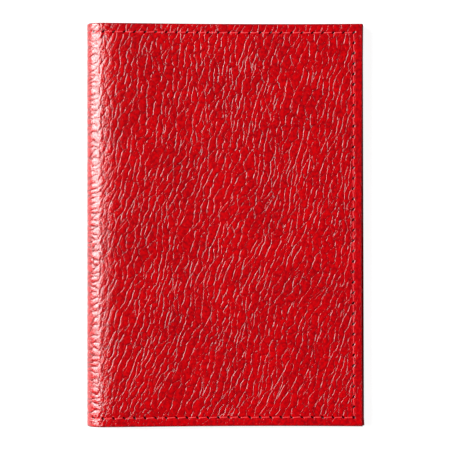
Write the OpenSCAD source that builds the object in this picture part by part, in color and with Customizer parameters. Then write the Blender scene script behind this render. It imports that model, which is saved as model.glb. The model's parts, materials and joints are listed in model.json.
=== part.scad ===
// Slip-on leather cover for a pocket notebook, lying closed on its back.
// X runs from the spine to the fore edge, Y from tail to head, Z up from the face it rests on.
// Each half is drawn flat, outer face down at z = 0; the front half is the same, turned over the spine.

/* [Cover] */
// Height of the cover, tail to head
cover_h = 136; // [110:1:160]
// Width of the closed cover, spine to fore edge
cover_w = 93.6; // [80:1:110]
// Height of the closed spine, twice its outer radius
spine_h = 10.4; // [9:0.2:14]
// How much shorter the front half is cut than the back half
front_short = 0.5; // [0:0.1:1.5]
// Gap between the two closed halves at the fore edge
closed_gap = 0.35; // [0.3:0.05:1]

/* [Layers] */
// Thickness of the grained outer leather
leather_t = 1.1; // [0.9:0.05:1.3]
// Thickness of the stiffening board
board_t = 0.4; // [0.3:0.05:0.6]
// Thickness of the lining cloth
lining_t = 0.25; // [0.2:0.05:0.4]
// Thickness of the pocket leather
flap_t = 0.7; // [0.6:0.05:1]

/* [Pockets] */
// Width of each pocket flap, fore edge to free edge
flap_w = 42; // [30:1:60]
// Width of the lining's hem, which the seam runs through
border_w = 4.5; // [4:0.25:6]

/* [Seam] */
// Distance from the cut edge to the middle of the seam
seam_inset = 3; // [2.5:0.1:3.5]
// Width of the channel that the stitches lie in
channel_w = 0.6; // [0.5:0.05:0.8]
// Depth of that channel
channel_d = 0.3; // [0.25:0.01:0.35]

/* [Hidden] */

$fn = 96;
cut = 1;                               // how far a cutting tool runs past the face it cuts
thread_play = 0.05;                    // clearance of the thread in its channel, on every side
thread_w = channel_w - 2 * thread_play;
thread_t = channel_d - 2 * thread_play;
spine_r = spine_h / 2;
fold_x = spine_r - cover_w / 2;        // where the flat panels turn into the round spine
half_h = cover_h / 2;
seam_y = half_h - seam_inset;
lining_z = leather_t + board_t;        // underside of the lining over the board
base_z = lining_z + lining_t;          // face of the lining
flap_z = base_z + 2 * lining_t;        // top of the hem, which is the cloth turned twice
stack_z = flap_z + flap_t;             // inner face of a finished half
back_edge = cover_w / 2;
front_edge = back_edge - front_short;
tilt = asin((spine_h - 2 * stack_z - closed_gap) / (front_edge - fold_x));

// The spine turns through three equal folds, with a strip between each two of them.
turn = 180 + tilt;
fold_angle = turn / 3;
fold_half_gap = 4.4;                   // half the angle left open at each fold
panel_end = fold_angle / 2 - fold_half_gap;
strip_span = fold_angle - 2 * fold_half_gap;

// Hinge axes: the radius keeps the neutral line's length as a fold flattens.
neutral_r = spine_r - (leather_t + lining_t) / 2;
hinge_r = neutral_r * (fold_angle * PI / 180) / (2 * sin(fold_angle / 2));
hinges = [
    for (i = [0:2])
        let (a = fold_angle * (i + 0.5))
            [fold_x - hinge_r * sin(a), 0, spine_r - hinge_r * cos(a)]
];
echo(tilt = tilt, fold_angle = fold_angle, hinges = hinges, stack_z = stack_z);

// Puts what is drawn for a flat half on top of the spine, tilted down to the fore edge.
module over_the_spine() {
    translate([fold_x, 0, spine_r])
        rotate([0, tilt, 0])
            mirror([0, 0, 1])
                translate([-fold_x, 0, -spine_r])
                    children();
}

// A piece of the round spine between two angles, counted from its lowest line round to the left.
module spine_sector(r_in, r_out, a0, a1, y0, y1) {
    translate([fold_x, 0, spine_r])
        rotate([-90, 90, 0])
            rotate([0, 0, a0])
                rotate_extrude(angle = a1 - a0)
                    translate([r_in, y0])
                        square([r_out - r_in, y1 - y0]);
}

module slab(x0, x1, z0, z1, y = half_h) {
    translate([x0, -y, z0]) cube([x1 - x0, 2 * y, z1 - z0]);
}

// The straight run of the seam at the head and at the tail, between two x values.
module seam_runs(x0, x1, z0, z1, w) {
    for (side = [-1, 1])
        translate([x0, side * seam_y - w / 2, z0])
            cube([x1 - x0, w, z1 - z0]);
}

// The run of the seam along the fore edge.
module fore_run(edge, z0, z1, w) {
    slab(edge - seam_inset - w / 2, edge - seam_inset + w / 2, z0, z1, seam_y + w / 2);
}

// The seam over a stretch of the spine, z0 and z1 measured in from the outer face.
module seam_sectors(a0, a1, z0, z1, w) {
    for (side = [-1, 1])
        spine_sector(
            spine_r - z1, spine_r - z0, a0, a1,
            side * seam_y - w / 2, side * seam_y + w / 2
        );
}

// The whole seam on the outer face of a half, with the stretch a1 degrees round the spine.
module outer_seam(edge, z0, z1, w, a1) {
    seam_runs(fold_x, edge - seam_inset, z0, z1, w);
    fore_run(edge, z0, z1, w);
    seam_sectors(0, a1, z0, z1, w);
}

module half_leather(edge) {
    difference() {
        union() {
            slab(fold_x, edge, 0, leather_t);
            spine_sector(spine_r - leather_t, spine_r, 0, panel_end, -half_h, half_h);
        }
        outer_seam(edge, -cut, channel_d, channel_w, panel_end + cut);
    }
}

module half_board(edge) {
    slab(fold_x + border_w, edge - border_w, leather_t, lining_z, half_h - border_w);
}

// The lining lies over the board and is hemmed along the head, the fore edge and the tail.
// The hem stands up round three sides of the space under the flap.
module half_lining(edge) {
    sheet_r = spine_r - leather_t;
    difference() {
        union() {
            slab(fold_x, edge, leather_t, flap_z);
            spine_sector(sheet_r - lining_t, sheet_r, 0, panel_end, -half_h, half_h);
        }
        half_board(edge);
        slab(fold_x - cut, edge - border_w, base_z, flap_z + cut, half_h - border_w);
        seam_runs(fold_x - cut, edge - flap_w, flap_z - channel_d, flap_z + cut, channel_w);
    }
}

module half_flap(edge) {
    difference() {
        slab(edge - flap_w, edge, flap_z, stack_z);
        seam_runs(edge - flap_w - cut, edge - seam_inset, stack_z - channel_d, stack_z + cut, channel_w);
        fore_run(edge, stack_z - channel_d, stack_z + cut, channel_w);
    }
}

module half_needle_thread(edge) {
    outer_seam(edge, thread_play, channel_d - thread_play, thread_w, panel_end);
}

// The under thread lies in the hem up to the flap, and in the flap from there on.
module half_bobbin_thread(edge) {
    on_hem = flap_z - channel_d + thread_play;
    on_flap = stack_z - channel_d + thread_play;
    seam_runs(fold_x, edge - flap_w - thread_play, on_hem, on_hem + thread_t, thread_w);
    seam_runs(edge - flap_w, edge - seam_inset, on_flap, on_flap + thread_t, thread_w);
    fore_run(edge, on_flap, on_flap + thread_t, thread_w);
}

function strip_start(i) = fold_angle * (i + 0.5) + fold_half_gap;

module strip_leather(i) {
    a0 = strip_start(i);
    difference() {
        spine_sector(spine_r - leather_t, spine_r, a0, a0 + strip_span, -half_h, half_h);
        seam_sectors(a0 - cut, a0 + strip_span + cut, -cut, channel_d, channel_w);
    }
}

module strip_lining(i) {
    a0 = strip_start(i);
    spine_sector(
        spine_r - leather_t - lining_t, spine_r - leather_t,
        a0, a0 + strip_span, -half_h, half_h
    );
}

module strip_needle_thread(i) {
    a0 = strip_start(i);
    seam_sectors(a0, a0 + strip_span, thread_play, channel_d - thread_play, thread_w);
}

// The under thread lies on the lining where the seam crosses the spine.
module strip_bobbin_thread(i) {
    a0 = strip_start(i);
    on_lining = leather_t + lining_t;
    seam_sectors(a0, a0 + strip_span, on_lining, on_lining + thread_t, thread_w);
}

module back_outer_leather() { color("firebrick") half_leather(back_edge); }
module back_board() { color("tan") half_board(back_edge); }
module back_lining() { color("darkred") half_lining(back_edge); }
module back_pocket_flap() { color("crimson") half_flap(back_edge); }
module back_needle_thread() { color("indianred") half_needle_thread(back_edge); }
module back_bobbin_thread() { color("indianred") half_bobbin_thread(back_edge); }

module spine_back_leather() { color("firebrick") strip_leather(0); }
module spine_back_lining() { color("darkred") strip_lining(0); }
module spine_back_needle_thread() { color("indianred") strip_needle_thread(0); }
module spine_back_bobbin_thread() { color("indianred") strip_bobbin_thread(0); }

module spine_front_leather() { color("firebrick") strip_leather(1); }
module spine_front_lining() { color("darkred") strip_lining(1); }
module spine_front_needle_thread() { color("indianred") strip_needle_thread(1); }
module spine_front_bobbin_thread() { color("indianred") strip_bobbin_thread(1); }

module front_outer_leather() { color("firebrick") over_the_spine() half_leather(front_edge); }
module front_board() { color("tan") over_the_spine() half_board(front_edge); }
module front_lining() { color("darkred") over_the_spine() half_lining(front_edge); }
module front_pocket_flap() { color("crimson") over_the_spine() half_flap(front_edge); }
module front_needle_thread() { color("indianred") over_the_spine() half_needle_thread(front_edge); }
module front_bobbin_thread() { color("indianred") over_the_spine() half_bobbin_thread(front_edge); }

back_outer_leather();
back_board();
back_lining();
back_pocket_flap();
back_needle_thread();
back_bobbin_thread();
spine_back_leather();
spine_back_lining();
spine_back_needle_thread();
spine_back_bobbin_thread();
spine_front_leather();
spine_front_lining();
spine_front_needle_thread();
spine_front_bobbin_thread();
front_outer_leather();
front_board();
front_lining();
front_pocket_flap();
front_needle_thread();
front_bobbin_thread();
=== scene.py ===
"""A slip-on leather cover for a pocket notebook, dressed around its CAD frame.

The cover is worked out as one flat sheet and then wrapped. A point of the sheet is given by
u, the way round the outside from the back half's fore edge over the spine to the front half's,
v, from tail (negative) to head, and depth, measured inwards from the outer face.
"""

import json
import math

import bpy
import numpy as np
from bpy.props import FloatProperty, FloatVectorProperty, PointerProperty
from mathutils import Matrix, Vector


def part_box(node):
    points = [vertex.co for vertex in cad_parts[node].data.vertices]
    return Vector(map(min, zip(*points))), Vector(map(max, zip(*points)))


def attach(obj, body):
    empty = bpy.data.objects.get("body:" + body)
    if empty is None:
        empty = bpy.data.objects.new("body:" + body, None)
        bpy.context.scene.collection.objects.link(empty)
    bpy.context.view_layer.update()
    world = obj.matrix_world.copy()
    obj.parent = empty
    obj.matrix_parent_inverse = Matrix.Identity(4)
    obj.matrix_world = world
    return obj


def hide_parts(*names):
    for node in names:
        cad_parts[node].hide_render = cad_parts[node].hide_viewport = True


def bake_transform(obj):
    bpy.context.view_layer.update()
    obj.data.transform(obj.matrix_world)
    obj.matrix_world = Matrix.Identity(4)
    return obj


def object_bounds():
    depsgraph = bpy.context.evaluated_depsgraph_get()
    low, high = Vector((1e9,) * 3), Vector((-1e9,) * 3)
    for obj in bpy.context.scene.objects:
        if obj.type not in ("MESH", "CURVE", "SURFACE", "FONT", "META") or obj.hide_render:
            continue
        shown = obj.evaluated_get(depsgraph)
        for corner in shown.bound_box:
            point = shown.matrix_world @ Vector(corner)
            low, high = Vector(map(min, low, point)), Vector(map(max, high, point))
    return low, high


bl_info = {
    "name": "Leather Notebook Cover",
    "version": (1, 0, 0),
    "blender": (4, 5, 0),
    "location": "View3D > Sidebar > Cover",
    "description": "Makes the leather, lining, pockets and stitches of a notebook cover",
    "category": "Object",
}

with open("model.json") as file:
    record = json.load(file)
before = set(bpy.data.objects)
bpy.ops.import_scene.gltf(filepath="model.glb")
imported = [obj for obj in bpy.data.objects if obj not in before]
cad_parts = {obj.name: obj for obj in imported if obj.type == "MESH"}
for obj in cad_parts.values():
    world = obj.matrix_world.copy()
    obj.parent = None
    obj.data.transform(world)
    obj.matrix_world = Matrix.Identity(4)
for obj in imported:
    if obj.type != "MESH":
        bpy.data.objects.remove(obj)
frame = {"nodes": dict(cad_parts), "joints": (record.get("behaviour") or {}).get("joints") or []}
CAD_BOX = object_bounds()
MM = 0.001
HALVES = ("back", "front")
PIECE_NAMES = ("back", "spine", "front")
THREAD_HALF = 0.25 * MM  # half the width of the CAD thread
STRAND_SWELL = 0.13  # how far a strand stands out from the thread, as a share of its radius
SKIN_GAP = 0.02 * MM  # air left between two layers that lie on each other
FOLD_SHARE = 0.985  # how much of its third of the spine each fold bends
RIM_SHARE = 0.45  # a face is painted where its corners' edge marks average more than this


# Layout: what the CAD nodes say about the cover

class Layout:
    """The cover's sizes in metres, read from its CAD nodes and joints."""

    def __init__(self):
        low, high = CAD_BOX
        joints = frame["joints"]
        board_low, board_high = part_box("back_board")
        flap_low, flap_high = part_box("back_pocket_flap")
        self.spine_r = high.z / 2
        self.half_h = high.y
        self.fold_x = low.x + self.spine_r
        self.back_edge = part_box("back_outer_leather")[1].x
        self.turn = math.radians(sum(j["range_deg"][1] for j in joints))
        self.tilt = self.turn - math.pi
        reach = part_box("front_outer_leather")[1].x - self.fold_x
        self.front_len = (reach - self.spine_r * math.sin(self.tilt)) / math.cos(self.tilt)
        self.back_len = self.back_edge - self.fold_x
        self.arc_len = self.spine_r * self.turn
        self.length = self.back_len + self.arc_len + self.front_len
        self.leather_t = board_low.z
        self.board_top = board_high.z
        self.board_inset = self.half_h - board_high.y
        self.flap_low = flap_low.z
        self.flap_top = flap_high.z
        self.flap_w = flap_high.x - flap_low.x
        self.lining_t = (self.flap_low - self.board_top) / 3  # the hem makes three layers
        self.lining_depth = self.leather_t + self.lining_t
        self.seam_inset = self.half_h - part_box("back_needle_thread")[1].y + THREAD_HALF
        self.seam_u = self.length / 2 - self.seam_inset
        self.seam_v = self.half_h - self.seam_inset
        self.cuts = [self.back_len + self.arc_len * share for share in (1 / 3, 2 / 3)]

    def stitches(self, span):
        """How many stitches fit in a span of the seam, and the length of each."""
        count = round(span / bpy.context.scene.cover_sizes.stitch)
        return count, span / count

    def fold_line(self, number, depth):
        """Start and end of the bend at one of the three folds, for a layer at a depth."""
        angle = self.turn / 3 * (number + 0.5)
        reach = FOLD_SHARE * (self.spine_r - depth) * math.sin(self.turn / 6)
        middle = np.array([self.fold_x, 0, self.spine_r])
        middle += self.spine_r * np.array([-math.sin(angle), 0, -math.cos(angle)])
        along = np.array([-math.cos(angle), 0, math.sin(angle)])
        return middle - reach * along, middle + reach * along


plan = Layout()


def eased(low, high, value):
    """0 below low, 1 above high, and smooth between them."""
    t = np.clip((value - low) / (high - low), 0, 1)
    return t * t * (3 - 2 * t)


def bowed(u, v):
    """Pulls the edges in between the corners, as sewn leather does."""
    sizes = bpy.context.scene.cover_sizes
    back = np.clip(1 - u / plan.back_len, 0, 1)
    front = np.clip((u - plan.back_len - plan.arc_len) / plan.front_len, 0, 1)
    out = np.maximum(back, front)
    side = v / plan.half_h
    pull = sizes.edge_bow * (1 - side ** 2) * out ** 2
    flare_from, flare_power = 0.88, 12  # the flare keeps to the last eighth of the half's height
    flare = sizes.corner_flare * eased(flare_from, 1, -side) * out ** flare_power
    pull = pull - np.where(back > 0, flare, 0)
    waist, corner = 0.7 * np.sin(math.pi * out), 0.4 * out ** 6
    squeeze = sizes.edge_bow / plan.half_h * (waist - corner)
    return u + np.where(back > front, pull, -pull), v * (1 - squeeze)


def wrapped(u, v, depth):
    """Points of the closed cover for flat positions u and v and a depth below the outer face."""
    u, v = bowed(u, v)
    radius = plan.spine_r - depth
    angle = np.clip((u - plan.back_len) / plan.spine_r, 0, plan.turn)
    before = np.maximum(plan.back_len - u, 0)
    after = np.maximum(u - plan.back_len - plan.arc_len, 0)
    x = plan.fold_x - radius * np.sin(angle) + before + after * math.cos(plan.tilt)
    z = plan.spine_r - radius * np.cos(angle) - after * math.sin(plan.tilt)
    return np.stack([x, v + 0 * x, z], axis=-1)


# Surfaces: grids over the flat sheet

def marks(*stops):
    """Positions from the first stop to the last; every further stop is (position, step)."""
    found = [np.array([stops[0]])]
    for end, step in stops[1:]:
        start = found[-1][-1]
        count = max(1, math.ceil(abs(end - start) / step))
        found.append(np.linspace(start, end, count + 1)[1:])
    return np.concatenate(found)


def with_rims(inner, low, high, rounding, low_rim=True, high_rim=True):
    """Adds the rounded rims at low and high to the marks between them: positions and rim depths."""
    angles = np.radians([0, 30, 60])
    inset, depth = rounding * (1 - np.cos(angles)), rounding * (1 - np.sin(angles))
    at, sunk = [inner], [np.zeros(len(inner))]
    if low_rim:
        at.insert(0, low + inset)
        sunk.insert(0, depth)
    if high_rim:
        at.append(high - inset[::-1])
        sunk.append(depth[::-1])
    return np.concatenate(at), np.concatenate(sunk)


def grid_faces(columns, rows, inward):
    """Four-cornered faces of a grid, facing outwards or inwards."""
    first = np.arange((columns - 1) * rows).reshape(columns - 1, rows)[:, :-1].ravel()
    quads = np.stack([first, first + rows, first + rows + 1, first + 1], axis=1)
    return quads[:, ::-1] if inward else quads


def new_mesh(name, points, faces):
    """A mesh from points in any array shape and faces as lists of indices."""
    mesh = bpy.data.meshes.new(name)
    mesh.from_pydata(np.asarray(points, float).reshape(-1, 3).tolist(), [], faces)
    mesh.update()
    return mesh


def add_attribute(mesh, name, kind, values):
    """Stores one value, or one vector, for each point of a mesh."""
    layer = mesh.attributes.new(name, kind, "POINT")
    key = "vector" if kind == "FLOAT_VECTOR" else "value"
    layer.data.foreach_set(key, np.asarray(values, np.float32).ravel())


class Surface:
    """A grid of points of the wrapped cover, with flat positions, edge marks and normals."""

    def __init__(self, across, along, depth, inward=False, relief=None, rounded=True):
        (u, sunk_u), (v, sunk_v) = across, along
        self.u, self.v = np.meshgrid(u, v, indexing="ij")
        rim = np.maximum(sunk_u[:, None], sunk_v[None, :])
        self.depth = depth(self.u, self.v) + rounded * (-rim if inward else rim)
        self.flat = np.stack([self.u, self.v, self.depth], axis=-1)
        self.edge = np.clip(rim / max(rim.max(), 1e-9) * 1.6, 0, 1)
        self.inward = inward
        points = wrapped(self.u, self.v, self.depth)
        faces = grid_faces(*self.u.shape, inward)
        mesh = new_mesh("surface", points, faces.tolist())
        add_attribute(mesh, "flat", "FLOAT_VECTOR", self.flat)
        add_attribute(mesh, "edge", "FLOAT", self.edge)
        holder = bpy.data.objects.new("surface", mesh)
        bpy.context.scene.collection.objects.link(holder)
        if relief:
            holder.modifiers.new("relief", "NODES").node_group = relief
        evaluated = holder.evaluated_get(bpy.context.evaluated_depsgraph_get())
        result = evaluated.to_mesh()
        self.points = np.empty(points.size, np.float32)
        self.normals = np.empty(points.size, np.float32)
        result.vertices.foreach_get("co", self.points)
        result.vertex_normals.foreach_get("vector", self.normals)
        self.points = self.points.reshape(points.shape).astype(float)
        self.normals = self.normals.reshape(points.shape)
        evaluated.to_mesh_clear()
        bpy.data.objects.remove(holder)
        bpy.data.meshes.remove(mesh)

    def slice(self, first, last):
        """The columns from first to last, both included."""
        part = object.__new__(Surface)
        for key in ("u", "v", "depth", "flat", "edge", "points", "normals"):
            setattr(part, key, getattr(self, key)[first:last + 1])
        part.inward = self.inward
        return part


def outline(columns, rows):
    """Indices round the border of a grid, in the sense in which its faces turn."""
    i, j = np.arange(columns), np.arange(rows)
    return np.concatenate([
        i * rows,
        (columns - 1) * rows + j[1:],
        i[::-1][1:] * rows + rows - 1,
        j[::-1][1:-1],
    ])


def solid_sheet(name, face, back, fine_back=True):
    """A closed piece between two surfaces on the same grid. A plain back has points at its
    border only, with long faces from tail to head."""
    columns, rows = face.u.shape
    size = columns * rows
    ring = outline(columns, rows)
    points, flat = [face.points.reshape(-1, 3)], [face.flat.reshape(-1, 3)]
    edge = [face.edge.ravel()]
    to_back = np.full(size, -1)
    if fine_back:
        to_back[:] = np.arange(size) + size
        points.append(back.points.reshape(-1, 3))
        flat.append(back.flat.reshape(-1, 3))
        edge.append(back.edge.ravel())
        back_faces = (grid_faces(columns, rows, True) + size).tolist()
        back_normals = -back.normals.reshape(-1, 3) if back.inward == face.inward else back.normals
    else:
        to_back[ring] = np.arange(len(ring)) + size
        points.append(back.points.reshape(-1, 3)[ring])
        flat.append(back.flat.reshape(-1, 3)[ring])
        edge.append(np.zeros(len(ring)))
        foot, head = to_back[np.arange(columns) * rows], to_back[np.arange(columns) * rows + rows - 1]
        back_faces = [
            [foot[i], head[i], head[i + 1], foot[i + 1]] for i in range(columns - 1)
        ]
        back_faces[0][:2] = to_back[np.arange(rows)].tolist()
        last = to_back[(columns - 1) * rows + np.arange(rows)[::-1]].tolist()
        back_faces[-1][-2:] = last
        back_normals = None
    nxt = np.roll(ring, -1)
    walls = np.stack([nxt, ring, to_back[ring], to_back[nxt]], axis=1).tolist()
    faces = grid_faces(columns, rows, False).tolist() + back_faces + walls
    if face.inward:
        faces = [f[::-1] for f in faces]
    mesh = new_mesh(name, np.concatenate(points), faces)
    add_attribute(mesh, "flat", "FLOAT_VECTOR", np.concatenate(flat))
    add_attribute(mesh, "edge", "FLOAT", np.concatenate(edge))
    smooth_normals(mesh, face.normals.reshape(-1, 3), size, back_normals)
    holder = bpy.data.objects.new(name, mesh)
    bpy.context.scene.collection.objects.link(holder)
    return holder


def smooth_normals(mesh, face_normals, size, back_normals):
    """Keeps each grid's own normals, so that neighbouring pieces shade as one sheet."""
    count = len(mesh.loops)
    vertex = np.empty(count, np.int32)
    mesh.loops.foreach_get("vertex_index", vertex)
    starts, totals = (np.empty(len(mesh.polygons), np.int32) for _ in range(2))
    mesh.polygons.foreach_get("loop_start", starts)
    mesh.polygons.foreach_get("loop_total", totals)
    flat_normals = np.empty(len(mesh.polygons) * 3, np.float32)
    mesh.polygons.foreach_get("normal", flat_normals)
    normals = np.repeat(flat_normals.reshape(-1, 3), totals, axis=0)
    on_face = np.repeat(np.maximum.reduceat(vertex, starts) < size, totals)
    normals[on_face] = face_normals[vertex[on_face]]
    if back_normals is not None:
        on_back = np.repeat(np.minimum.reduceat(vertex, starts) >= size, totals)
        normals[on_back] = back_normals.reshape(-1, 3)[vertex[on_back] - size]
    mesh.polygons.foreach_set("use_smooth", np.ones(len(mesh.polygons), bool))
    mesh.normals_split_custom_set(normals.tolist())


# Nodes: the same relief drives the mesh and the material

class Wires:
    """Adds nodes to a shader or geometry tree and joins them with plain arithmetic."""

    def __init__(self, tree):
        self.tree = tree

    def put(self, socket, value):
        if isinstance(value, bpy.types.NodeSocket):
            self.tree.links.new(value, socket)
        else:
            socket.default_value = value

    def node(self, kind, inputs=(), **settings):
        made = self.tree.nodes.new(kind)
        number = len(self.tree.nodes)
        made.location = (200 * (number % 14), -260 * (number // 14))
        for key, value in settings.items():
            setattr(made, key, value)
        for key, value in dict(inputs).items():
            self.put(made.inputs[key], value)
        return made

    def math(self, operation, *values):
        return self.node(
            "ShaderNodeMath", dict(enumerate(values)), operation=operation
        ).outputs[0]

    def vector(self, operation, *values):
        made = self.node("ShaderNodeVectorMath", dict(enumerate(values)), operation=operation)
        wanted = "Value" if operation in ("DOT_PRODUCT", "LENGTH") else "Vector"
        return made.outputs[wanted]

    def scaled(self, vector, factor):
        made = self.node("ShaderNodeVectorMath", {0: vector, "Scale": factor}, operation="SCALE")
        return made.outputs["Vector"]

    def parts(self, vector):
        return self.node("ShaderNodeSeparateXYZ", {0: vector}).outputs

    def joined(self, x, y, z=0.0):
        return self.node("ShaderNodeCombineXYZ", {0: x, 1: y, 2: z}).outputs[0]

    def ramp(self, value, low, high, start=0.0, end=1.0):
        """start below low, end above high, and smooth between them."""
        inputs = {"Value": value, "From Min": low, "From Max": high, "To Min": start, "To Max": end}
        return self.node(
            "ShaderNodeMapRange", inputs, interpolation_type="SMOOTHSTEP"
        ).outputs[0]

    def between(self, factor, a, b):
        """A number that is a where factor is 0 and b where it is 1."""
        return self.node("ShaderNodeMix", {0: factor, 2: a, 3: b}, data_type="FLOAT").outputs[0]

    def tinted(self, factor, a, b):
        """A colour that is a where factor is 0 and b where it is 1."""
        return self.node("ShaderNodeMix", {0: factor, 6: a, 7: b}, data_type="RGBA").outputs[2]

    def bell(self, value, width):
        """1 where value is 0, falling off smoothly over width."""
        ratio = self.math("DIVIDE", value, width)
        return self.math("EXPONENT", self.math("MULTIPLY", self.math("MULTIPLY", ratio, ratio), -1.0))

    def noise(self, point, cell, detail=1.0, output=0):
        """Smooth noise that changes over cell, in the unit of point."""
        inputs = {"Vector": point, "Scale": 1 / cell, "Detail": detail}
        return self.node("ShaderNodeTexNoise", inputs, noise_dimensions="2D").outputs[output]

    def pushed(self, point, cell, reach):
        """point, moved about by smooth noise by up to about half of reach."""
        colour = self.noise(point, cell, output=1)
        centred = self.vector("SUBTRACT", colour, (0.5, 0.5, 0.5))
        return self.vector("ADD", point, self.scaled(centred, reach))


def furrow_net(w, point, slope, width, length):
    """Distance in millimetres to the nearest furrow between long cells, and how far that
    furrow runs along the cells, from 0 to 1."""
    cell = (length, width, 1.0)
    turned = w.node(
        "ShaderNodeVectorRotate", {"Vector": point, "Angle": -slope}, rotation_type="Z_AXIS"
    ).outputs[0]
    spot = w.vector("DIVIDE", turned, cell)
    near, further = (
        w.node(
            "ShaderNodeTexVoronoi",
            {"Vector": spot, "Scale": 1.0, "Randomness": 1.0},
            voronoi_dimensions="2D",
            feature=feature,
        ).outputs["Position"]
        for feature in ("F1", "F2")
    )
    step = w.vector("SUBTRACT", further, near)
    middle = w.scaled(w.vector("ADD", near, further), 0.5)
    reach = w.vector("DOT_PRODUCT", w.vector("SUBTRACT", middle, spot), step)
    rise = w.vector("DIVIDE", step, cell)
    steep = w.vector("LENGTH", rise)
    lengthwise = w.math("ABSOLUTE", w.math("DIVIDE", w.parts(rise)[1], steep))
    return w.math("DIVIDE", reach, steep), lengthwise


def spine_distance(w, flat):
    """How far a flat position is from the middle of the spine, in millimetres."""
    middle = (plan.back_len + plan.arc_len / 2) / MM
    return w.math("ABSOLUTE", w.math("SUBTRACT", w.parts(flat)[0], middle))


def seam_offset(w, flat):
    """How far outside the seam line a flat position is, in millimetres; negative inside it.
    Also the offsets from the two fore edge runs and from the head and tail runs alone."""
    x, y, _ = w.parts(flat)
    from_middle = w.math("ABSOLUTE", w.math("SUBTRACT", x, plan.length / 2 / MM))
    fore = w.math("SUBTRACT", from_middle, plan.seam_u / MM)
    ends = w.math("SUBTRACT", w.math("ABSOLUTE", y), plan.seam_v / MM)
    return w.math("MAXIMUM", fore, ends), fore, ends


def needle_holes(w, flat):
    """1 in the slanted holes that the needle leaves along the seam, and 0 elsewhere."""
    sizes = bpy.context.scene.cover_sizes
    x, y, _ = w.parts(flat)
    _, fore, ends = seam_offset(w, flat)
    found = []
    runs = (
        (x, plan.seam_inset / MM, 2 * plan.seam_u / MM, ends, fore),
        (y, -plan.seam_v / MM, 2 * plan.seam_v / MM, fore, ends),
    )
    for along, start, span, offset, past_end in runs:
        pitch = plan.stitches(span * MM)[1] / MM
        count = w.math("DIVIDE", w.math("SUBTRACT", along, start), pitch)
        from_hole = w.math("SUBTRACT", count, w.math("ROUND", count))
        here = w.joined(w.math("MULTIPLY", from_hole, pitch), offset)
        turned = w.node(
            "ShaderNodeVectorRotate",
            {"Vector": here, "Angle": -sizes.hole_slant},
            rotation_type="Z_AXIS",
        ).outputs[0]
        shaped = w.vector("LENGTH", w.vector("DIVIDE", turned, (0.62, 0.27, 1.0)))
        hole = w.ramp(shaped, 1.15, 0.75)
        found.append(w.math("MULTIPLY", hole, w.ramp(past_end, 0.9, 0.5)))
    return w.math("MAXIMUM", *found)


def grain(w, flat):
    """The shrunken grain: pillow height and furrow height in millimetres, both 0 or less, and
    a mask of painted shade for the furrows and their banks. Long cells run up the panels and lie
    across the spine."""
    sizes = bpy.context.scene.cover_sizes
    point = w.vector("MULTIPLY", flat, (1.0, 1.0, 0.0))
    point = w.pushed(w.pushed(point, 38.0, 9.0), 4.2, 2.2)
    vary = w.ramp(w.noise(w.pushed(point, 3.0, 2.0), 4.5), 0.3, 0.7, 0.5, 1.0)
    dashed = w.ramp(w.noise(point, 1.1), 0.3, 0.62, 0.6, 1.0)
    from_spine = spine_distance(w, flat)
    edge_of_wrinkles = w.math("ADD", from_spine, w.math("MULTIPLY", w.noise(point, 5.0), 3.0))
    on_panel = w.ramp(edge_of_wrinkles, 7.2, 9.6)
    reach = sizes.furrow_width / MM
    heights = []
    for slope, width, length, deeper, wider in (
        (sizes.grain_slope, sizes.grain_width, sizes.grain_length, 1.0, 1.0),
        (sizes.wrinkle_slope, sizes.wrinkle_pitch, sizes.wrinkle_length, 2.6, 1.7),
    ):
        line, run = furrow_net(w, point, slope, width / MM, length / MM)
        strength = w.math("MULTIPLY", w.ramp(run, 0.25, 0.95, 0.5, 1.0), vary)
        bank = w.math("SUBTRACT", 1.0, w.math("MINIMUM", w.math("DIVIDE", line, 1.15), 1.0))
        pillow = w.math("MULTIPLY", bank, bank)
        furrow = w.math("MULTIPLY", w.bell(line, wider * reach), dashed)
        # painted shade: a band wider than the furrow, along which the leather's colour is darkened
        shade = w.bell(line, 2.2 * wider * reach)
        parts = (pillow, w.math("MULTIPLY", furrow, deeper), shade)
        heights.append([w.math("MULTIPLY", part, strength) for part in parts])
    pillow, furrow, shade = (w.between(on_panel, s, p) for p, s in zip(*heights))
    pillow = w.math("MULTIPLY", pillow, w.ramp(from_spine, 9.0, 16.0, 1.35, 1.0))
    offset, _, _ = seam_offset(w, flat)
    pressed = w.ramp(w.parts(flat)[1], 60.0, 64.0, 0.35, 0.85)
    calm = w.ramp(offset, -1.0, 0.3, 1.0, pressed)
    pillow, furrow, shade = (w.math("MULTIPLY", part, calm) for part in (pillow, furrow, shade))
    return (
        w.math("MULTIPLY", pillow, -sizes.pillow_depth / MM),
        w.math("MULTIPLY", furrow, -sizes.furrow_depth / MM),
        shade,
    )


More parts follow.
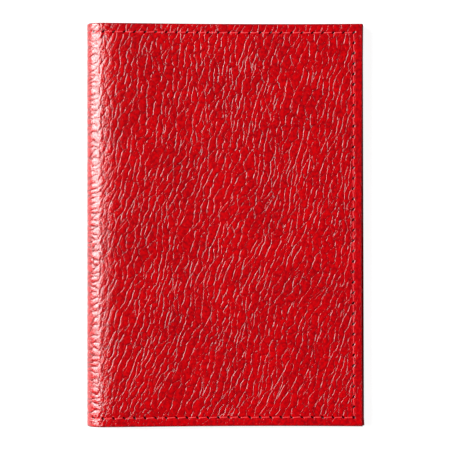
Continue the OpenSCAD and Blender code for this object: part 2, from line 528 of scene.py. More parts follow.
def relief_nodes():
    """Geometry nodes that press the pillowed grain and the seam's channel into the leather."""
    sizes = bpy.context.scene.cover_sizes
    tree = bpy.data.node_groups.new("leather_relief", "GeometryNodeTree")
    for way in ("INPUT", "OUTPUT"):
        tree.interface.new_socket("Geometry", in_out=way, socket_type="NodeSocketGeometry")
    w = Wires(tree)
    start, end = w.node("NodeGroupInput"), w.node("NodeGroupOutput")
    named = w.node(
        "GeometryNodeInputNamedAttribute", {"Name": "flat"}, data_type="FLOAT_VECTOR"
    ).outputs["Attribute"]
    rim = w.node(
        "GeometryNodeInputNamedAttribute", {"Name": "edge"}, data_type="FLOAT"
    ).outputs["Attribute"]
    flat = w.scaled(named, 1 / MM)
    pillow, _, _ = grain(w, flat)
    offset, _, _ = seam_offset(w, flat)
    channel = w.math("MULTIPLY", w.bell(offset, 0.5), -sizes.channel_depth / MM)
    hole = w.math("MULTIPLY", needle_holes(w, flat), -0.15)
    height = w.math("ADD", w.math("ADD", w.math("ADD", pillow, channel), hole), sizes.swell / MM)
    kept = w.math("MULTIPLY", height, w.math("SUBTRACT", 1.0, rim))
    normal = w.node("GeometryNodeInputNormal").outputs["Normal"]
    moved = w.node("GeometryNodeSetPosition", {
        "Geometry": start.outputs[0], "Offset": w.scaled(normal, w.math("MULTIPLY", kept, MM)),
    })
    w.put(end.inputs[0], moved.outputs[0])
    return tree


# Materials

def blank_material(name):
    """A material with only its output, and its wires."""
    material = bpy.data.materials.new(name)
    material.use_nodes = True
    material.node_tree.nodes.clear()
    return material, Wires(material.node_tree)


def flat_position(w):
    """The flat position in millimetres, from the attribute that every sewn piece has."""
    named = w.node("ShaderNodeAttribute", attribute_name="flat").outputs["Vector"]
    return w.scaled(named, 1 / MM)


def finished(w, colour, roughness, height, constants=()):
    """Joins colour, roughness and a height in metres to the surface shader and the output."""
    bump = w.node("ShaderNodeBump", {"Height": height, "Distance": 1.0, "Strength": 1.0})
    inputs = {"Base Color": colour, "Roughness": roughness, "Normal": bump.outputs[0]}
    shader = w.node("ShaderNodeBsdfPrincipled", {**inputs, **dict(constants)})
    w.node("ShaderNodeOutputMaterial", {"Surface": shader.outputs[0]})


def outer_leather_material():
    """Glazed leather with a shrunken grain, painted edges and pierced seam, with painted shade in its
    furrows and needle holes.
    """
    sizes, colours = bpy.context.scene.cover_sizes, bpy.context.scene.cover_colours
    material, w = blank_material("outer_leather")
    flat = flat_position(w)
    edge = w.node("ShaderNodeAttribute", attribute_name="edge").outputs["Fac"]
    _, cut, shade = grain(w, flat)
    holes = needle_holes(w, flat)
    pores = w.noise(flat, 0.35, detail=3.0)
    creases, _ = furrow_net(w, w.pushed(flat, 1.6, 0.8), 0.6, 0.9, 1.3)
    crease = w.bell(creases, 0.1)
    cloudy = w.math("MULTIPLY", w.ramp(w.noise(flat, 14.0, detail=2.0), 0.3, 0.7), 0.14)
    mottled = w.math("MULTIPLY", w.ramp(w.noise(flat, 1.1, detail=4.0), 0.32, 0.66), 0.5)
    colour = w.tinted(w.math("ADD", cloudy, mottled), colours.leather_deep, colours.leather)
    # painted shade: the leather darkened towards the furrow colour along the furrows and their banks
    colour = w.tinted(w.math("MULTIPLY", shade, 0.5), colour, colours.furrow)
    # painted shade: the needle holes darkened almost to black
    colour = w.tinted(holes, colour, colours.hole)
    colour = w.tinted(edge, colour, colours.edge_paint)
    rough = w.between(edge, w.ramp(pores, 0.2, 0.8, 0.15, 0.24), 0.6)
    fine = w.math("ADD", w.math("MULTIPLY", crease, -0.014), w.math("MULTIPLY", pores, 0.014))
    fine = w.math("MULTIPLY", fine, w.ramp(spine_distance(w, flat), 7.0, 15.0, 2.6, 1.0))
    height = w.math("ADD", w.math("ADD", cut, fine), w.math("MULTIPLY", holes, -0.2))
    height = w.math("MULTIPLY", height, w.math("SUBTRACT", 1.0, edge))
    finished(w, colour, rough, w.math("MULTIPLY", height, MM), {
        "IOR": 1.62, "Coat Weight": 0.28, "Coat Roughness": 0.08,
    })
    return material


def flap_leather_material():
    """The pocket flaps' thinner leather, with a fine pebbled grain, painted shade in its grooves and
    painted edges.
    """
    colours = bpy.context.scene.cover_colours
    material, w = blank_material("flap_leather")
    flat = flat_position(w)
    edge = w.node("ShaderNodeAttribute", attribute_name="edge").outputs["Fac"]
    pebbles, _ = furrow_net(w, w.pushed(flat, 2.4, 1.2), 1.1, 1.0, 1.5)
    groove = w.bell(pebbles, 0.14)
    pores = w.noise(flat, 0.3, detail=3.0)
    cloudy = w.ramp(w.noise(flat, 11.0, detail=2.0), 0.3, 0.7, 0.6, 1.0)
    colour = w.tinted(cloudy, colours.leather_deep, colours.flap)
    # painted shade: the grooves between the pebbles darkened towards the furrow colour
    colour = w.tinted(w.math("MULTIPLY", groove, 0.5), colour, colours.furrow)
    colour = w.tinted(edge, colour, colours.edge_paint)
    rough = w.ramp(pores, 0.2, 0.8, 0.38, 0.5)
    fine = w.math("ADD", w.math("MULTIPLY", groove, -0.05), w.math("MULTIPLY", pores, 0.015))
    finished(w, colour, rough, w.math("MULTIPLY", fine, MM), {"IOR": 1.5, "Coat Weight": 0.1})
    return material


def lining_material():
    """Twill: diagonal ribs, crossed by the threads that make them up, with painted shade on the sunk
    threads.
    """
    colours = bpy.context.scene.cover_colours
    material, w = blank_material("lining_cloth")
    flat = flat_position(w)
    edge = w.node("ShaderNodeAttribute", attribute_name="edge").outputs["Fac"]
    x, y, _ = w.parts(w.pushed(flat, 9.0, 0.25))
    rib = w.math("SINE", w.math("MULTIPLY", w.math("ADD", x, y), math.tau / 0.62))
    cross = w.math("SINE", w.math("MULTIPLY", w.math("SUBTRACT", y, w.math("MULTIPLY", x, 0.15)),
                                  math.tau / 0.31))
    weave = w.math("ADD", rib, w.math("MULTIPLY", cross, 0.45))
    slub = w.noise(w.vector("MULTIPLY", flat, (0.25, 2.0, 0.0)), 0.8, detail=2.0)
    # painted shade: the sunk threads of the weave darkened towards the lining's shade colour; the
    # slub adds real uneven tone
    shade = w.math("ADD", w.ramp(weave, -1.2, 1.2, 0.0, 0.7), w.math("MULTIPLY", slub, 0.3))
    colour = w.tinted(shade, colours.lining_shade, colours.lining)
    colour = w.tinted(edge, colour, colours.edge_paint)
    height = w.math("ADD", w.math("MULTIPLY", weave, 0.02), w.math("MULTIPLY", slub, 0.02))
    finished(w, colour, w.ramp(slub, 0.2, 0.8, 0.68, 0.85), w.math("MULTIPLY", height, MM), {
        "Sheen Weight": 0.12, "Sheen Roughness": 0.4,
    })
    return material


def thread_material():
    """Waxed thread, a shade lighter than the leather, with painted shade between its strands."""
    colours = bpy.context.scene.cover_colours
    material, w = blank_material("thread")
    strand = w.node("ShaderNodeAttribute", attribute_name="strand").outputs["Fac"]
    flat = flat_position(w)
    fuzz = w.noise(flat, 0.12, detail=2.0)
    # painted shade: the thread darkened between its strands, where each strand is least proud
    shade = w.math("MULTIPLY", strand, w.ramp(fuzz, 0.2, 0.8, 0.75, 1.0))
    colour = w.tinted(shade, colours.thread_shade, colours.thread)
    rough = w.ramp(fuzz, 0.2, 0.8, 0.42, 0.6)
    finished(w, colour, rough, w.math("MULTIPLY", fuzz, 0.02 * MM), {"IOR": 1.5})
    return material


def board_material():
    """Grey-brown fibre board with flecks."""
    colours = bpy.context.scene.cover_colours
    material, w = blank_material("fibre_board")
    point = w.scaled(w.node("ShaderNodeTexCoord").outputs["Object"], 1 / MM)
    flecks = w.noise(w.vector("MULTIPLY", point, (1.0, 0.2, 0.0)), 0.6, detail=3.0)
    colour = w.tinted(w.ramp(flecks, 0.35, 0.7), colours.board, colours.board_fleck)
    finished(w, colour, w.ramp(flecks, 0.3, 0.7, 0.8, 0.95), w.math("MULTIPLY", flecks, 0.03 * MM))
    return material


def edge_paint_material():
    """Matt paint on the cut edges, with the layers' fibres just showing through."""
    colours = bpy.context.scene.cover_colours
    material, w = blank_material("edge_paint")
    flat = flat_position(w)
    fibres = w.noise(w.vector("MULTIPLY", flat, (1.0, 1.0, 9.0)), 0.5, detail=3.0)
    colour = w.tinted(w.ramp(fibres, 0.3, 0.7), colours.edge_paint, colours.edge_worn)
    finished(w, colour, w.ramp(fibres, 0.2, 0.8, 0.8, 0.95), w.math("MULTIPLY", fibres, 0.02 * MM), {
        "Specular IOR Level": 0.0,
    })
    return material


def dress(piece, material):
    """Gives a piece its material, and edge paint on its rims."""
    piece.data.materials.clear()
    piece.data.materials.append(material)
    if "edge" in piece.data.attributes:
        piece.data.materials.append(bpy.data.materials.get("edge_paint") or edge_paint_material())
        paint_rims(piece.data)


def paint_rims(mesh):
    """Gives the faces on the rims the second material."""
    edge = np.empty(len(mesh.vertices), np.float32)
    mesh.attributes["edge"].data.foreach_get("value", edge)
    vertex = np.empty(len(mesh.loops), np.int32)
    mesh.loops.foreach_get("vertex_index", vertex)
    starts = np.empty(len(mesh.polygons), np.int32)
    mesh.polygons.foreach_get("loop_start", starts)
    totals = np.diff(np.append(starts, len(vertex)))
    on_rim = np.add.reduceat(edge[vertex], starts) > RIM_SHARE * totals
    mesh.polygons.foreach_set("material_index", on_rim.astype(np.int32))


# Where the inner layers lie

def leather_face(u, v):
    """The outer face, which stands off a little where the spine runs into the front."""
    sizes = bpy.context.scene.cover_sizes
    past_fold = u - plan.back_len - plan.arc_len
    start, crest, end = -2.5 * MM, 4 * MM, 32 * MM
    rise = eased(start, crest, past_fold) * (1 - eased(crest, end, past_fold))
    held = 0.7 * eased(plan.half_h - 6 * MM, plan.half_h - 1 * MM, np.abs(v))
    return -sizes.puff * rise * (1 - held)


def leather_back(u, v):
    """The flesh side, one leather's thickness below the outer face."""
    return plan.leather_t + leather_face(u, v)


def past_panel(u):
    """How far a flat position is inside a panel, measured from its fold, in metres."""
    return np.maximum(plan.back_len - u, u - plan.back_len - plan.arc_len)


def border_depth(u, v):
    """How far a flat position is from the nearest cut edge, in metres."""
    return np.minimum(np.minimum(u, plan.length - u), plan.half_h - np.abs(v))


def lining_face(u, v):
    """The lining's inner face: on the leather at the spine, over the boards, up on the hems."""
    on_board = eased(plan.board_inset - 1.4 * MM, plan.board_inset + 0.2 * MM, past_panel(u))
    level = plan.lining_depth + on_board * (plan.board_top - plan.leather_t)
    hem_full = plan.flap_low - level
    hem_at_spine = 0.12 * MM
    in_panel = eased(0, plan.board_inset, past_panel(u))
    hem_here = hem_at_spine + (hem_full - hem_at_spine) * in_panel
    on_hem = 1 - eased(plan.board_inset - 0.35 * MM, plan.board_inset + 0.1 * MM, border_depth(u, v))
    return level + on_hem * hem_here


def lining_back(u, v):
    """The lining's underside, which steps up over the edge of each board."""
    inside = np.minimum(past_panel(u), border_depth(u, v)) - plan.board_inset
    over = eased(-0.25 * MM, -0.02 * MM, inside)
    return plan.leather_t + SKIN_GAP + over * (plan.board_top - plan.leather_t)


def flap_bulge(u, v):
    """How far a flap stands off its hem: most at the middle of its free edge."""
    sizes = bpy.context.scene.cover_sizes
    from_edge = np.minimum(u, plan.length - u)
    out = eased(plan.board_inset, plan.flap_w, from_edge)
    along = 1 - eased(plan.half_h * 0.45, plan.half_h - plan.board_inset, np.abs(v))
    return sizes.flap_bulge * out * along


def flap_face(u, v):
    """The flap's outer side, with its creased line and the pressed seam."""
    sizes = bpy.context.scene.cover_sizes
    from_free = plan.flap_w - np.minimum(u, plan.length - u)
    crease = np.exp(-((from_free - sizes.crease_inset) / (0.35 * MM)) ** 2)
    seam = np.exp(-((border_depth(u, v) - plan.seam_inset) / (0.45 * MM)) ** 2)
    pressed = 0.1 * MM * crease + 0.16 * MM * seam
    return plan.flap_top + flap_bulge(u, v) - pressed


def flap_back(u, v):
    """The flap's underside, which lies on the lining's hem."""
    return plan.flap_low + SKIN_GAP + flap_bulge(u, v)


def inner_face(u, v):
    """The face on which the inner thread lies: the flap, and the lining past its free edge."""
    from_edge = np.minimum(u, plan.length - u)
    past_flap = eased(plan.flap_w - 0.1 * MM, plan.flap_w + 0.5 * MM, from_edge)
    return flap_face(u, v) * (1 - past_flap) + lining_face(u, v) * past_flap


# Pieces

def add_folds(pieces, depth):
    """Bakes the placement of a layer's back, spine and front pieces into their meshes. The fold line
    for each piece at the layer's depth is worked out but not used, so nothing is bent.
    """
    for number, piece in enumerate(pieces):
        start, end = plan.fold_line(number, depth)
        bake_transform(piece)


def stood_for(pieces, kind, whole):
    """Hides the CAD nodes that each piece covers, whole or in part."""
    back, front = (f"{half}_{whole}" for half in HALVES)
    strips = [f"spine_{half}_{kind}" for half in HALVES]
    covered = [back, *strips, front]
    for number, piece in enumerate(pieces):
        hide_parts(*covered[number:number + 2])


def column_marks(step, arc_step, inset, fine):
    """Positions across the whole sheet, with marks at the folds and cuts."""
    end = plan.length
    return marks(
        inset, *fine, (plan.back_len, step),
        (plan.cuts[0], arc_step), (plan.cuts[1], arc_step),
        (plan.back_len + plan.arc_len, arc_step),
        *[(end - stop, size) for stop, size in reversed(fine_reversed(inset, fine, step))],
    )


def fine_reversed(inset, fine, step):
    """The fine stretches near one edge, as they come at the other edge."""
    stops = [inset] + [stop for stop, _ in fine]
    sizes = [size for _, size in fine] + [step]
    return list(zip(stops, sizes))


def row_marks(step, inset, fine):
    """Positions from tail to head."""
    half = plan.half_h
    return marks(
        inset - half, *[(stop - half, size) for stop, size in fine],
        *[(half - stop, size) for stop, size in reversed(fine_reversed(inset, fine, step))],
    )


def cut_columns(surface):
    """Index of each piece's first and last column in the whole sheet."""
    at = [int(np.abs(surface.u[:, 0] - cut).argmin()) for cut in plan.cuts]
    ends = [0, *at, len(surface.u) - 1]
    return list(zip(ends[:-1], ends[1:]))


class COVER_OT_outer_leather(bpy.types.Operator):
    """Wrap the grained leather round the back, the spine and the front"""

    bl_idname = "cover.outer_leather"
    bl_label = "Outer Leather"

    def execute(self, context):
        sizes = context.scene.cover_sizes
        rounding = sizes.edge_round
        fine = [(1.9 * MM, sizes.mesh_step), (4.1 * MM, 0.25 * MM)]
        inner_u = column_marks(sizes.mesh_step, sizes.arc_step, rounding, fine)
        inner_v = row_marks(sizes.mesh_step, rounding, fine)
        across = with_rims(inner_u, 0, plan.length, rounding)
        along = with_rims(inner_v, -plan.half_h, plan.half_h, rounding)
        face = Surface(across, along, leather_face, relief=relief_nodes())
        back = Surface(across, along, leather_back, rounded=False)
        material = outer_leather_material()
        pieces = []
        for name, (first, last) in zip(PIECE_NAMES, cut_columns(face)):
            piece = solid_sheet(
                f"outer_leather_{name}", face.slice(first, last), back.slice(first, last),
                fine_back=False,
            )
            dress(piece, material)
            pieces.append(piece)
        stood_for(pieces, "leather", "outer_leather")
        add_folds(pieces, 0)
        return {"FINISHED"}


class COVER_OT_lining(bpy.types.Operator):
    """Lay the twill lining over the boards and the spine"""

    bl_idname = "cover.lining"
    bl_label = "Lining"

    def execute(self, context):
        rounding = 0.12 * MM
        fine = [(3.6 * MM, 1.0 * MM), (5.2 * MM, 0.16 * MM)]
        inner_u = column_marks(1.2 * MM, 0.4 * MM, rounding, fine)
        inner_v = row_marks(1.2 * MM, rounding, fine)
        across = with_rims(inner_u, 0, plan.length, rounding)
        along = with_rims(inner_v, -plan.half_h, plan.half_h, rounding)
        face = Surface(across, along, lining_face, inward=True)
        back = Surface(across, along, lining_back, rounded=False)
        material = lining_material()
        pieces = []
        for name, (first, last) in zip(PIECE_NAMES, cut_columns(face)):
            piece = solid_sheet(f"lining_{name}", face.slice(first, last), back.slice(first, last))
            dress(piece, material)
            pieces.append(piece)
        stood_for(pieces, "lining", "lining")
        add_folds(pieces, plan.lining_depth)
        return {"FINISHED"}


class COVER_OT_boards(bpy.types.Operator):
    """Give the two stiffening boards their fibre board"""

    bl_idname = "cover.boards"
    bl_label = "Boards"

    def execute(self, context):
        material = board_material()
        for half in HALVES:
            dress(frame["nodes"][f"{half}_board"], material)
        return {"FINISHED"}


class COVER_OT_pocket_flaps(bpy.types.Operator):
    """Sew a pocket flap to the inside of each half"""

    bl_idname = "cover.pocket_flaps"
    bl_label = "Pocket Flaps"

    def execute(self, context):
        rounding = 0.2 * MM
        step = 0.8 * MM
        material = flap_leather_material()
        along = with_rims(
            row_marks(step, rounding, [(2.2 * MM, step), (3.8 * MM, 0.2 * MM)]),
            -plan.half_h, plan.half_h, rounding,
        )
        for half in HALVES:
            inner = marks(
                rounding, (2.2 * MM, step), (3.8 * MM, 0.2 * MM),
                (plan.flap_w - 3 * MM, step), (plan.flap_w - rounding, 0.2 * MM),
            )
            if half == "front":
                inner = plan.length - inner[::-1]
            low = 0 if half == "back" else plan.length - plan.flap_w
            across = with_rims(inner, low, low + plan.flap_w, rounding)
            face = Surface(across, along, flap_face, inward=True)
            back = Surface(across, along, flap_back)
            piece = solid_sheet(f"pocket_flap_{half}", face, back)
            dress(piece, material)
            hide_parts(f"{half}_pocket_flap")
            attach(piece, f"{half}_cover")
        return {"FINISHED"}


def seam_stitches():
    """Start and end of every stitch, as flat positions, run by run."""
    u_low, u_high = plan.seam_inset, plan.length - plan.seam_inset
    v_low, v_high = -plan.seam_v, plan.seam_v
    found = []
    for start, end in (
        ((u_low, v_low), (u_high, v_low)),
        ((u_high, v_low), (u_high, v_high)),
        ((u_high, v_high), (u_low, v_high)),
        ((u_low, v_high), (u_low, v_low)),
    ):
        start, end = np.array(start), np.array(end)
        count, _ = plan.stitches(float(np.linalg.norm(end - start)))
        holes = start + (end - start) * np.linspace(0, 1, count + 1)[:, None]
        found += list(zip(holes[:-1], holes[1:]))
    return found


def stitch_shape(start, end, face_depth, sink, inward, rings=17, sides=12):
    """One stitch: three strands twisted together, dipping into a hole at each end.
    Gives flat positions and depths, and how proud of its neighbours each strand is."""
    sizes = bpy.context.scene.cover_sizes
    t = np.linspace(0, 1, rings)[:, None]
    phi = np.linspace(0, math.tau, sides, endpoint=False)[None, :]
    length = np.linalg.norm(end - start)
    way = (end - start) / length
    side = np.array([-way[1], way[0]])
    slant = sizes.stitch_slant * (t - 0.5) * 2
    lobes = np.cos(3 * phi - math.tau * 3 * t * length / sizes.twist)
    radius = sizes.thread_radius * (1 + STRAND_SWELL * lobes)
    radius = radius * (1 - 0.35 * (1 - eased(0, 0.12, t) * eased(0, 0.12, 1 - t)))
    middle = start + (end - start) * (0.03 + 0.94 * t) + side * slant
    plane = middle[:, None, :] + side * (radius * np.cos(phi))[..., None]
    dive = sizes.stitch_dive * (1 - eased(0, 0.16, t) * eased(0, 0.16, 1 - t)) + sink
    toward = -1 if inward else 1
    depth = face_depth(plane[..., 0], plane[..., 1]) + toward * dive
    depth = depth + radius * np.sin(phi)
    return plane[..., 0], plane[..., 1], depth, 0.5 + 0.5 * lobes


def tube_faces(rings, sides):
    """Faces of a closed tube with flat ends."""
    faces = []
    for r in range(rings - 1):
        for s in range(sides):
            a, b = r * sides + s, r * sides + (s + 1) % sides
            faces.append((a, b, b + sides, a + sides))
    faces.append(tuple(range(sides))[::-1])
    faces.append(tuple(range((rings - 1) * sides, rings * sides)))
    return faces


def sew(kind, face_depth, sink, inward):
    """Makes the back, spine and front stitches of one thread."""
    material = bpy.data.materials.get("thread") or thread_material()
    groups = [[], [], []]
    for start, end in seam_stitches():
        middle = (start[0] + end[0]) / 2
        groups[int(middle > plan.cuts[0]) + int(middle > plan.cuts[1])].append((start, end))
    pieces = []
    for name, stitches in zip(PIECE_NAMES, groups):
        points, flat, strand, faces, offset = [], [], [], [], 0
        for start, end in stitches:
            u, v, depth, proud = stitch_shape(start, end, face_depth, sink, inward)
            shape = tube_faces(*u.shape)
            points.append(wrapped(u, v, depth).reshape(-1, 3))
            flat.append(np.stack([u, v, depth], axis=-1).reshape(-1, 3))
            strand.append(np.broadcast_to(proud, u.shape).ravel())
            faces += [tuple(k + offset for k in f) for f in shape]
            offset += u.size
        mesh = new_mesh(f"{kind}_{name}", np.concatenate(points), faces)
        add_attribute(mesh, "flat", "FLOAT_VECTOR", np.concatenate(flat))
        add_attribute(mesh, "strand", "FLOAT", np.concatenate(strand))
        mesh.polygons.foreach_set("use_smooth", np.ones(len(mesh.polygons), bool))
        face_outwards(mesh)
        piece = bpy.data.objects.new(f"{kind}_{name}", mesh)
        bpy.context.scene.collection.objects.link(piece)
        dress(piece, material)
        pieces.append(piece)
    stood_for(pieces, kind, kind)
    add_folds(pieces, plan.lining_depth if inward else 0)


def face_outwards(mesh):
    """Turns the faces round if the closed mesh is inside out."""
    co = np.array([v.co for v in mesh.vertices])
    mesh.calc_loop_triangles()
    a, b, c = (co[[t.vertices[k] for t in mesh.loop_triangles]] for k in range(3))
    if (a * np.cross(b, c)).sum() < 0:
        mesh.flip_normals()


class COVER_OT_needle_thread(bpy.types.Operator):
    """Sew the outer thread of the seam"""

    bl_idname = "cover.needle_thread"
    bl_label = "Needle Thread"

    def execute(self, context):
        sizes = context.scene.cover_sizes
        proud = 0.03 * MM
        sink = sizes.thread_radius * (1 + STRAND_SWELL) - proud
        sew("needle_thread", leather_face, sink, inward=False)
        return {"FINISHED"}


class COVER_OT_bobbin_thread(bpy.types.Operator):
    """Sew the inner thread of the seam"""

    bl_idname = "cover.bobbin_thread"
    bl_label = "Bobbin Thread"

    def execute(self, context):
        sew("bobbin_thread", inner_face, SKIN_GAP, inward=True)
        return {"FINISHED"}


class COVER_OT_stage(bpy.types.Operator):
    """Set out the floor, the studio light and the camera"""

    bl_idname = "cover.stage"
    bl_label = "Stage"

    def execute(self, context):
        stage = context.scene.cover_stage
        lay_floor(stage)
        soft_light("key", stage.key_place, stage.key_width, stage.key_height, stage.key_power)
        fill = soft_light(
            "fill", stage.fill_place, stage.fill_width, stage.fill_width, stage.fill_power
        )
        fill.visible_glossy = False
        paint_surroundings(stage)
        place_camera(context, stage)
        context.scene.view_settings.view_transform = "Standard"
        context.scene.view_settings.look = "None"
        return {"FINISHED"}


def lay_floor(stage):
    """A wide pale floor just under the cover."""
    half = stage.floor_size / 2
    corners = [(-half, -half), (half, -half), (half, half), (-half, half)]
    mesh = new_mesh("floor", [(x, y, -0.05 * MM) for x, y in corners], [(0, 1, 2, 3)])
    floor = bpy.data.objects.new("floor", mesh)
    bpy.context.scene.collection.objects.link(floor)
    material, w = blank_material("floor")
    shader = w.node("ShaderNodeBsdfPrincipled", {
        "Base Color": stage.floor_colour, "Roughness": 0.9, "Specular IOR Level": 0.1,
        "Emission Color": (1.0, 1.0, 1.0, 1.0), "Emission Strength": stage.floor_glow,
    })
    w.node("ShaderNodeOutputMaterial", {"Surface": shader.outputs[0]})
    mesh.materials.append(material)


def soft_light(name, place, width, height, power):
    """A rectangular light that faces the middle of the cover."""
    lamp = bpy.data.lights.new(name, "AREA")
    lamp.shape = "RECTANGLE"
    lamp.size = width
    lamp.size_y = height
    lamp.energy = power
    light = bpy.data.objects.new(name, lamp)
    light.location = place
    light.rotation_euler = (-light.location).to_track_quat("-Z", "Y").to_euler()
    bpy.context.scene.collection.objects.link(light)
    return light


def paint_surroundings(stage):
    """A pale backdrop, and surroundings that light the cover from eye level but not overhead."""
    world = bpy.data.worlds.new("studio")
    world.use_nodes = True
    w = Wires(world.node_tree)
    world.node_tree.nodes.clear()
    up = w.parts(w.node("ShaderNodeTexCoord").outputs["Generated"])[2]
    shade = w.tinted(w.ramp(up, 0.15, 0.75), stage.horizon_colour, stage.zenith_colour)
    seen = w.node("ShaderNodeLightPath").outputs["Is Camera Ray"]
    shade = w.tinted(seen, shade, stage.backdrop_colour)
    light = w.node("ShaderNodeBackground", {"Color": shade, "Strength": 1.0})
    w.node("ShaderNodeOutputWorld", {"Surface": light.outputs[0]})
    bpy.context.scene.world = world


def place_camera(context, stage):
    """A long lens straight above the closed cover."""
    lens = bpy.data.cameras.new("camera")
    lens.sensor_width = 36.0
    lens.lens = stage.lens
    lens.dof.use_dof = False
    lens.clip_end = 20.0
    camera = bpy.data.objects.new("camera", lens)
    camera.location = (stage.camera_x, stage.camera_y, stage.camera_height)
    context.scene.collection.objects.link(camera)
    context.scene.camera = camera


# Settings

def length(name, default, description):
    return FloatProperty(name=name, default=default, description=description, unit="LENGTH",
                         precision=5)


def angle(name, degrees, description):
    return FloatProperty(name=name, default=math.radians(degrees), description=description,
                         subtype="ANGLE")


def colour(name, default, description):
    return FloatVectorProperty(name=name, default=(*default, 1.0), description=description,
                               subtype="COLOR", size=4, min=0.0, max=1.0)


def place(name, default, description):
    return FloatVectorProperty(name=name, default=default, description=description,
                               subtype="TRANSLATION", unit="LENGTH")


def amount(name, default, description):
    return FloatProperty(name=name, default=default, description=description, min=0.0)


class CoverSizes(bpy.types.PropertyGroup):
    """Sizes of the leather's surface and of the seam."""

    mesh_step: length("Mesh Step", 0.42 * MM, "Spacing of the leather's mesh on the panels")
    arc_step: length("Spine Step", 0.3 * MM, "Spacing of the leather's mesh round the spine")
    edge_round: length("Edge Rounding", 0.42 * MM, "Radius of the cut edges")
    edge_bow: length("Edge Bow", 0.27 * MM, "How far an edge pulls in between its corners")
    corner_flare: length("Corner Flare", 0.4 * MM, "How far the back's tail corner peeks out")
    grain_width: length("Grain Width", 2.0 * MM, "Width of a grain cell")
    grain_length: length("Grain Length", 4.7 * MM, "Length of a grain cell")
    grain_slope: angle("Grain Slope", 73, "Direction of the grain on the panels")
    wrinkle_pitch: length("Wrinkle Pitch", 2.1 * MM, "Distance between wrinkles on the spine")
    wrinkle_length: length("Wrinkle Length", 7.0 * MM, "Length of a wrinkle on the spine")
    wrinkle_slope: angle("Wrinkle Slope", 6, "Direction of the wrinkles on the spine")
    furrow_width: length("Furrow Width", 0.092 * MM, "Half the width of a furrow")
    furrow_depth: length("Furrow Depth", 0.075 * MM, "Depth of the deepest furrows")
    pillow_depth: length("Pillow Depth", 0.115 * MM, "How far the cells round off to the furrows")
    swell: length("Swell", 0.05 * MM, "How far the cells stand proud")
    puff: length("Fold Puff", 0.5 * MM, "How far the leather stands off the board at the fold")
    channel_depth: length("Seam Depth", 0.1 * MM, "How deep the stitches pull the leather in")
    stitch: length("Stitch Length", 3.5 * MM, "Distance from hole to hole")
    thread_radius: length("Thread Radius", 0.17 * MM, "Half the thickness of the thread")
    twist: length("Thread Twist", 2.4 * MM, "Length of one full turn of the strands")
    stitch_slant: length("Stitch Slant", 0.12 * MM, "How far a stitch leans to either side")
    stitch_dive: length("Stitch Dive", 0.5 * MM, "How deep a stitch goes into its holes")
    hole_slant: angle("Hole Slant", 38, "Slant of the needle's holes to the seam")
    flap_bulge: length("Flap Bulge", 0.3 * MM, "How far a flap's free edge stands off")
    crease_inset: length("Crease Inset", 2.2 * MM, "Distance of the flap's creased line")


class CoverColours(bpy.types.PropertyGroup):
    """Colours of the leathers, the cloth, the thread and the boards."""

    leather: colour("Leather", (0.53, 0.0, 0.001), "Red of the glazed leather")
    leather_deep: colour("Leather, Deep", (0.218, 0.0, 0.002), "Red where the dye took deeper")
    # painted shade: the dark red laid along the outer leather's furrows and the flaps' grooves
    furrow: colour("Furrow", (0.06, 0.0, 0.002), "Red at the bottom of a furrow")
    # painted shade inside the needle holes
    hole: colour("Needle Hole", (0.012, 0.0, 0.001), "Dark of the needle's holes")
    edge_paint: colour("Edge Paint", (0.04, 0.001, 0.002), "Paint on the cut edges")
    edge_worn: colour("Edge Paint, Worn", (0.1, 0.003, 0.004), "Fibres through the edge paint")
    flap: colour("Flap", (0.29, 0.0, 0.004), "Red of the pocket flaps")
    lining: colour("Lining", (0.3, 0.008, 0.018), "Raised threads of the lining")
    # painted shade on the sunk threads of the lining
    lining_shade: colour("Lining, Shade", (0.09, 0.002, 0.006), "Sunk threads of the lining")
    thread: colour("Thread", (0.26, 0.0, 0.002), "Waxed thread")
    # painted shade between the thread's strands
    thread_shade: colour("Thread, Shade", (0.1, 0.0, 0.002), "Between the thread's strands")
    board: colour("Board", (0.36, 0.28, 0.19), "Fibre board")
    board_fleck: colour("Board Fleck", (0.55, 0.46, 0.34), "Flecks in the fibre board")


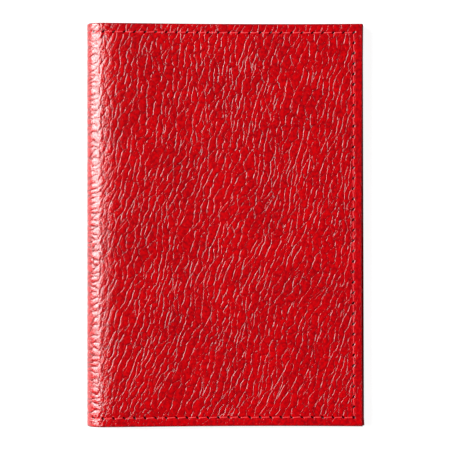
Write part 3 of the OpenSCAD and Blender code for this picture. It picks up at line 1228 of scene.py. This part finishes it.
class CoverStage(bpy.types.PropertyGroup):
    """Floor, light and camera."""

    floor_size: length("Floor Size", 6.0, "Side of the floor")
    floor_colour: colour("Floor Colour", (0.25, 0.25, 0.25), "Pale floor")
    floor_glow: amount("Floor Glow", 0.82, "How much the floor glows, like a light table")
    key_place: place("Key Place", (-1.25, 0.42, 0.85), "Where the main light stands")
    key_width: length("Key Width", 1.0, "Width of the main light")
    key_height: length("Key Height", 1.8, "Height of the main light")
    key_power: amount("Key Power", 82.0, "Power of the main light, in watts")
    fill_place: place("Fill Place", (0.42, -0.06, 0.36), "Where the soft light stands")
    fill_width: length("Fill Width", 0.3, "Side of the soft light")
    fill_power: amount("Fill Power", 2.1, "Power of the soft light, in watts")
    backdrop_colour: colour("Backdrop", (0.9, 0.9, 0.9), "Backdrop behind the floor's far edge")
    horizon_colour: colour("Horizon", (0.14, 0.14, 0.14), "Surroundings at eye level")
    zenith_colour: colour("Overhead", (0.01, 0.01, 0.01), "Surroundings overhead")
    lens: FloatProperty(name="Lens", default=157.1, description="Focal length in millimetres")
    camera_x: length("Camera X", -0.15 * MM, "Camera position across the cover")
    camera_y: length("Camera Y", 0.0, "Camera position along the cover")
    camera_height: length("Camera Height", 0.67, "Height of the camera above the floor")


MAKERS = (
    COVER_OT_stage, COVER_OT_outer_leather, COVER_OT_lining, COVER_OT_boards,
    COVER_OT_pocket_flaps, COVER_OT_needle_thread, COVER_OT_bobbin_thread,
)
SETTINGS = (
    ("cover_sizes", CoverSizes), ("cover_colours", CoverColours), ("cover_stage", CoverStage),
)


class COVER_PT_panel(bpy.types.Panel):
    """Lists the makers of the cover's pieces, and their settings"""

    bl_idname = "COVER_PT_panel"
    bl_label = "Leather Cover"
    bl_space_type = "VIEW_3D"
    bl_region_type = "UI"
    bl_category = "Cover"

    def draw(self, context):
        for maker in MAKERS:
            self.layout.operator(maker.bl_idname)
        for key, group in SETTINGS:
            box = self.layout.box()
            box.label(text=group.__doc__)
            for name in group.__annotations__:
                box.prop(getattr(context.scene, key), name)


CLASSES = (*(group for _, group in SETTINGS), *MAKERS, COVER_PT_panel)


def register():
    for cls in CLASSES:
        bpy.utils.register_class(cls)
    for key, group in SETTINGS:
        setattr(bpy.types.Scene, key, PointerProperty(type=group))


def unregister():
    for key, _ in SETTINGS:
        delattr(bpy.types.Scene, key)
    for cls in reversed(CLASSES):
        bpy.utils.unregister_class(cls)


def main():
    """Makes every piece."""
    register()
    for maker in MAKERS:
        area, name = maker.bl_idname.split(".")
        getattr(getattr(bpy.ops, area), name)()


if __name__ == "__main__":
    main()
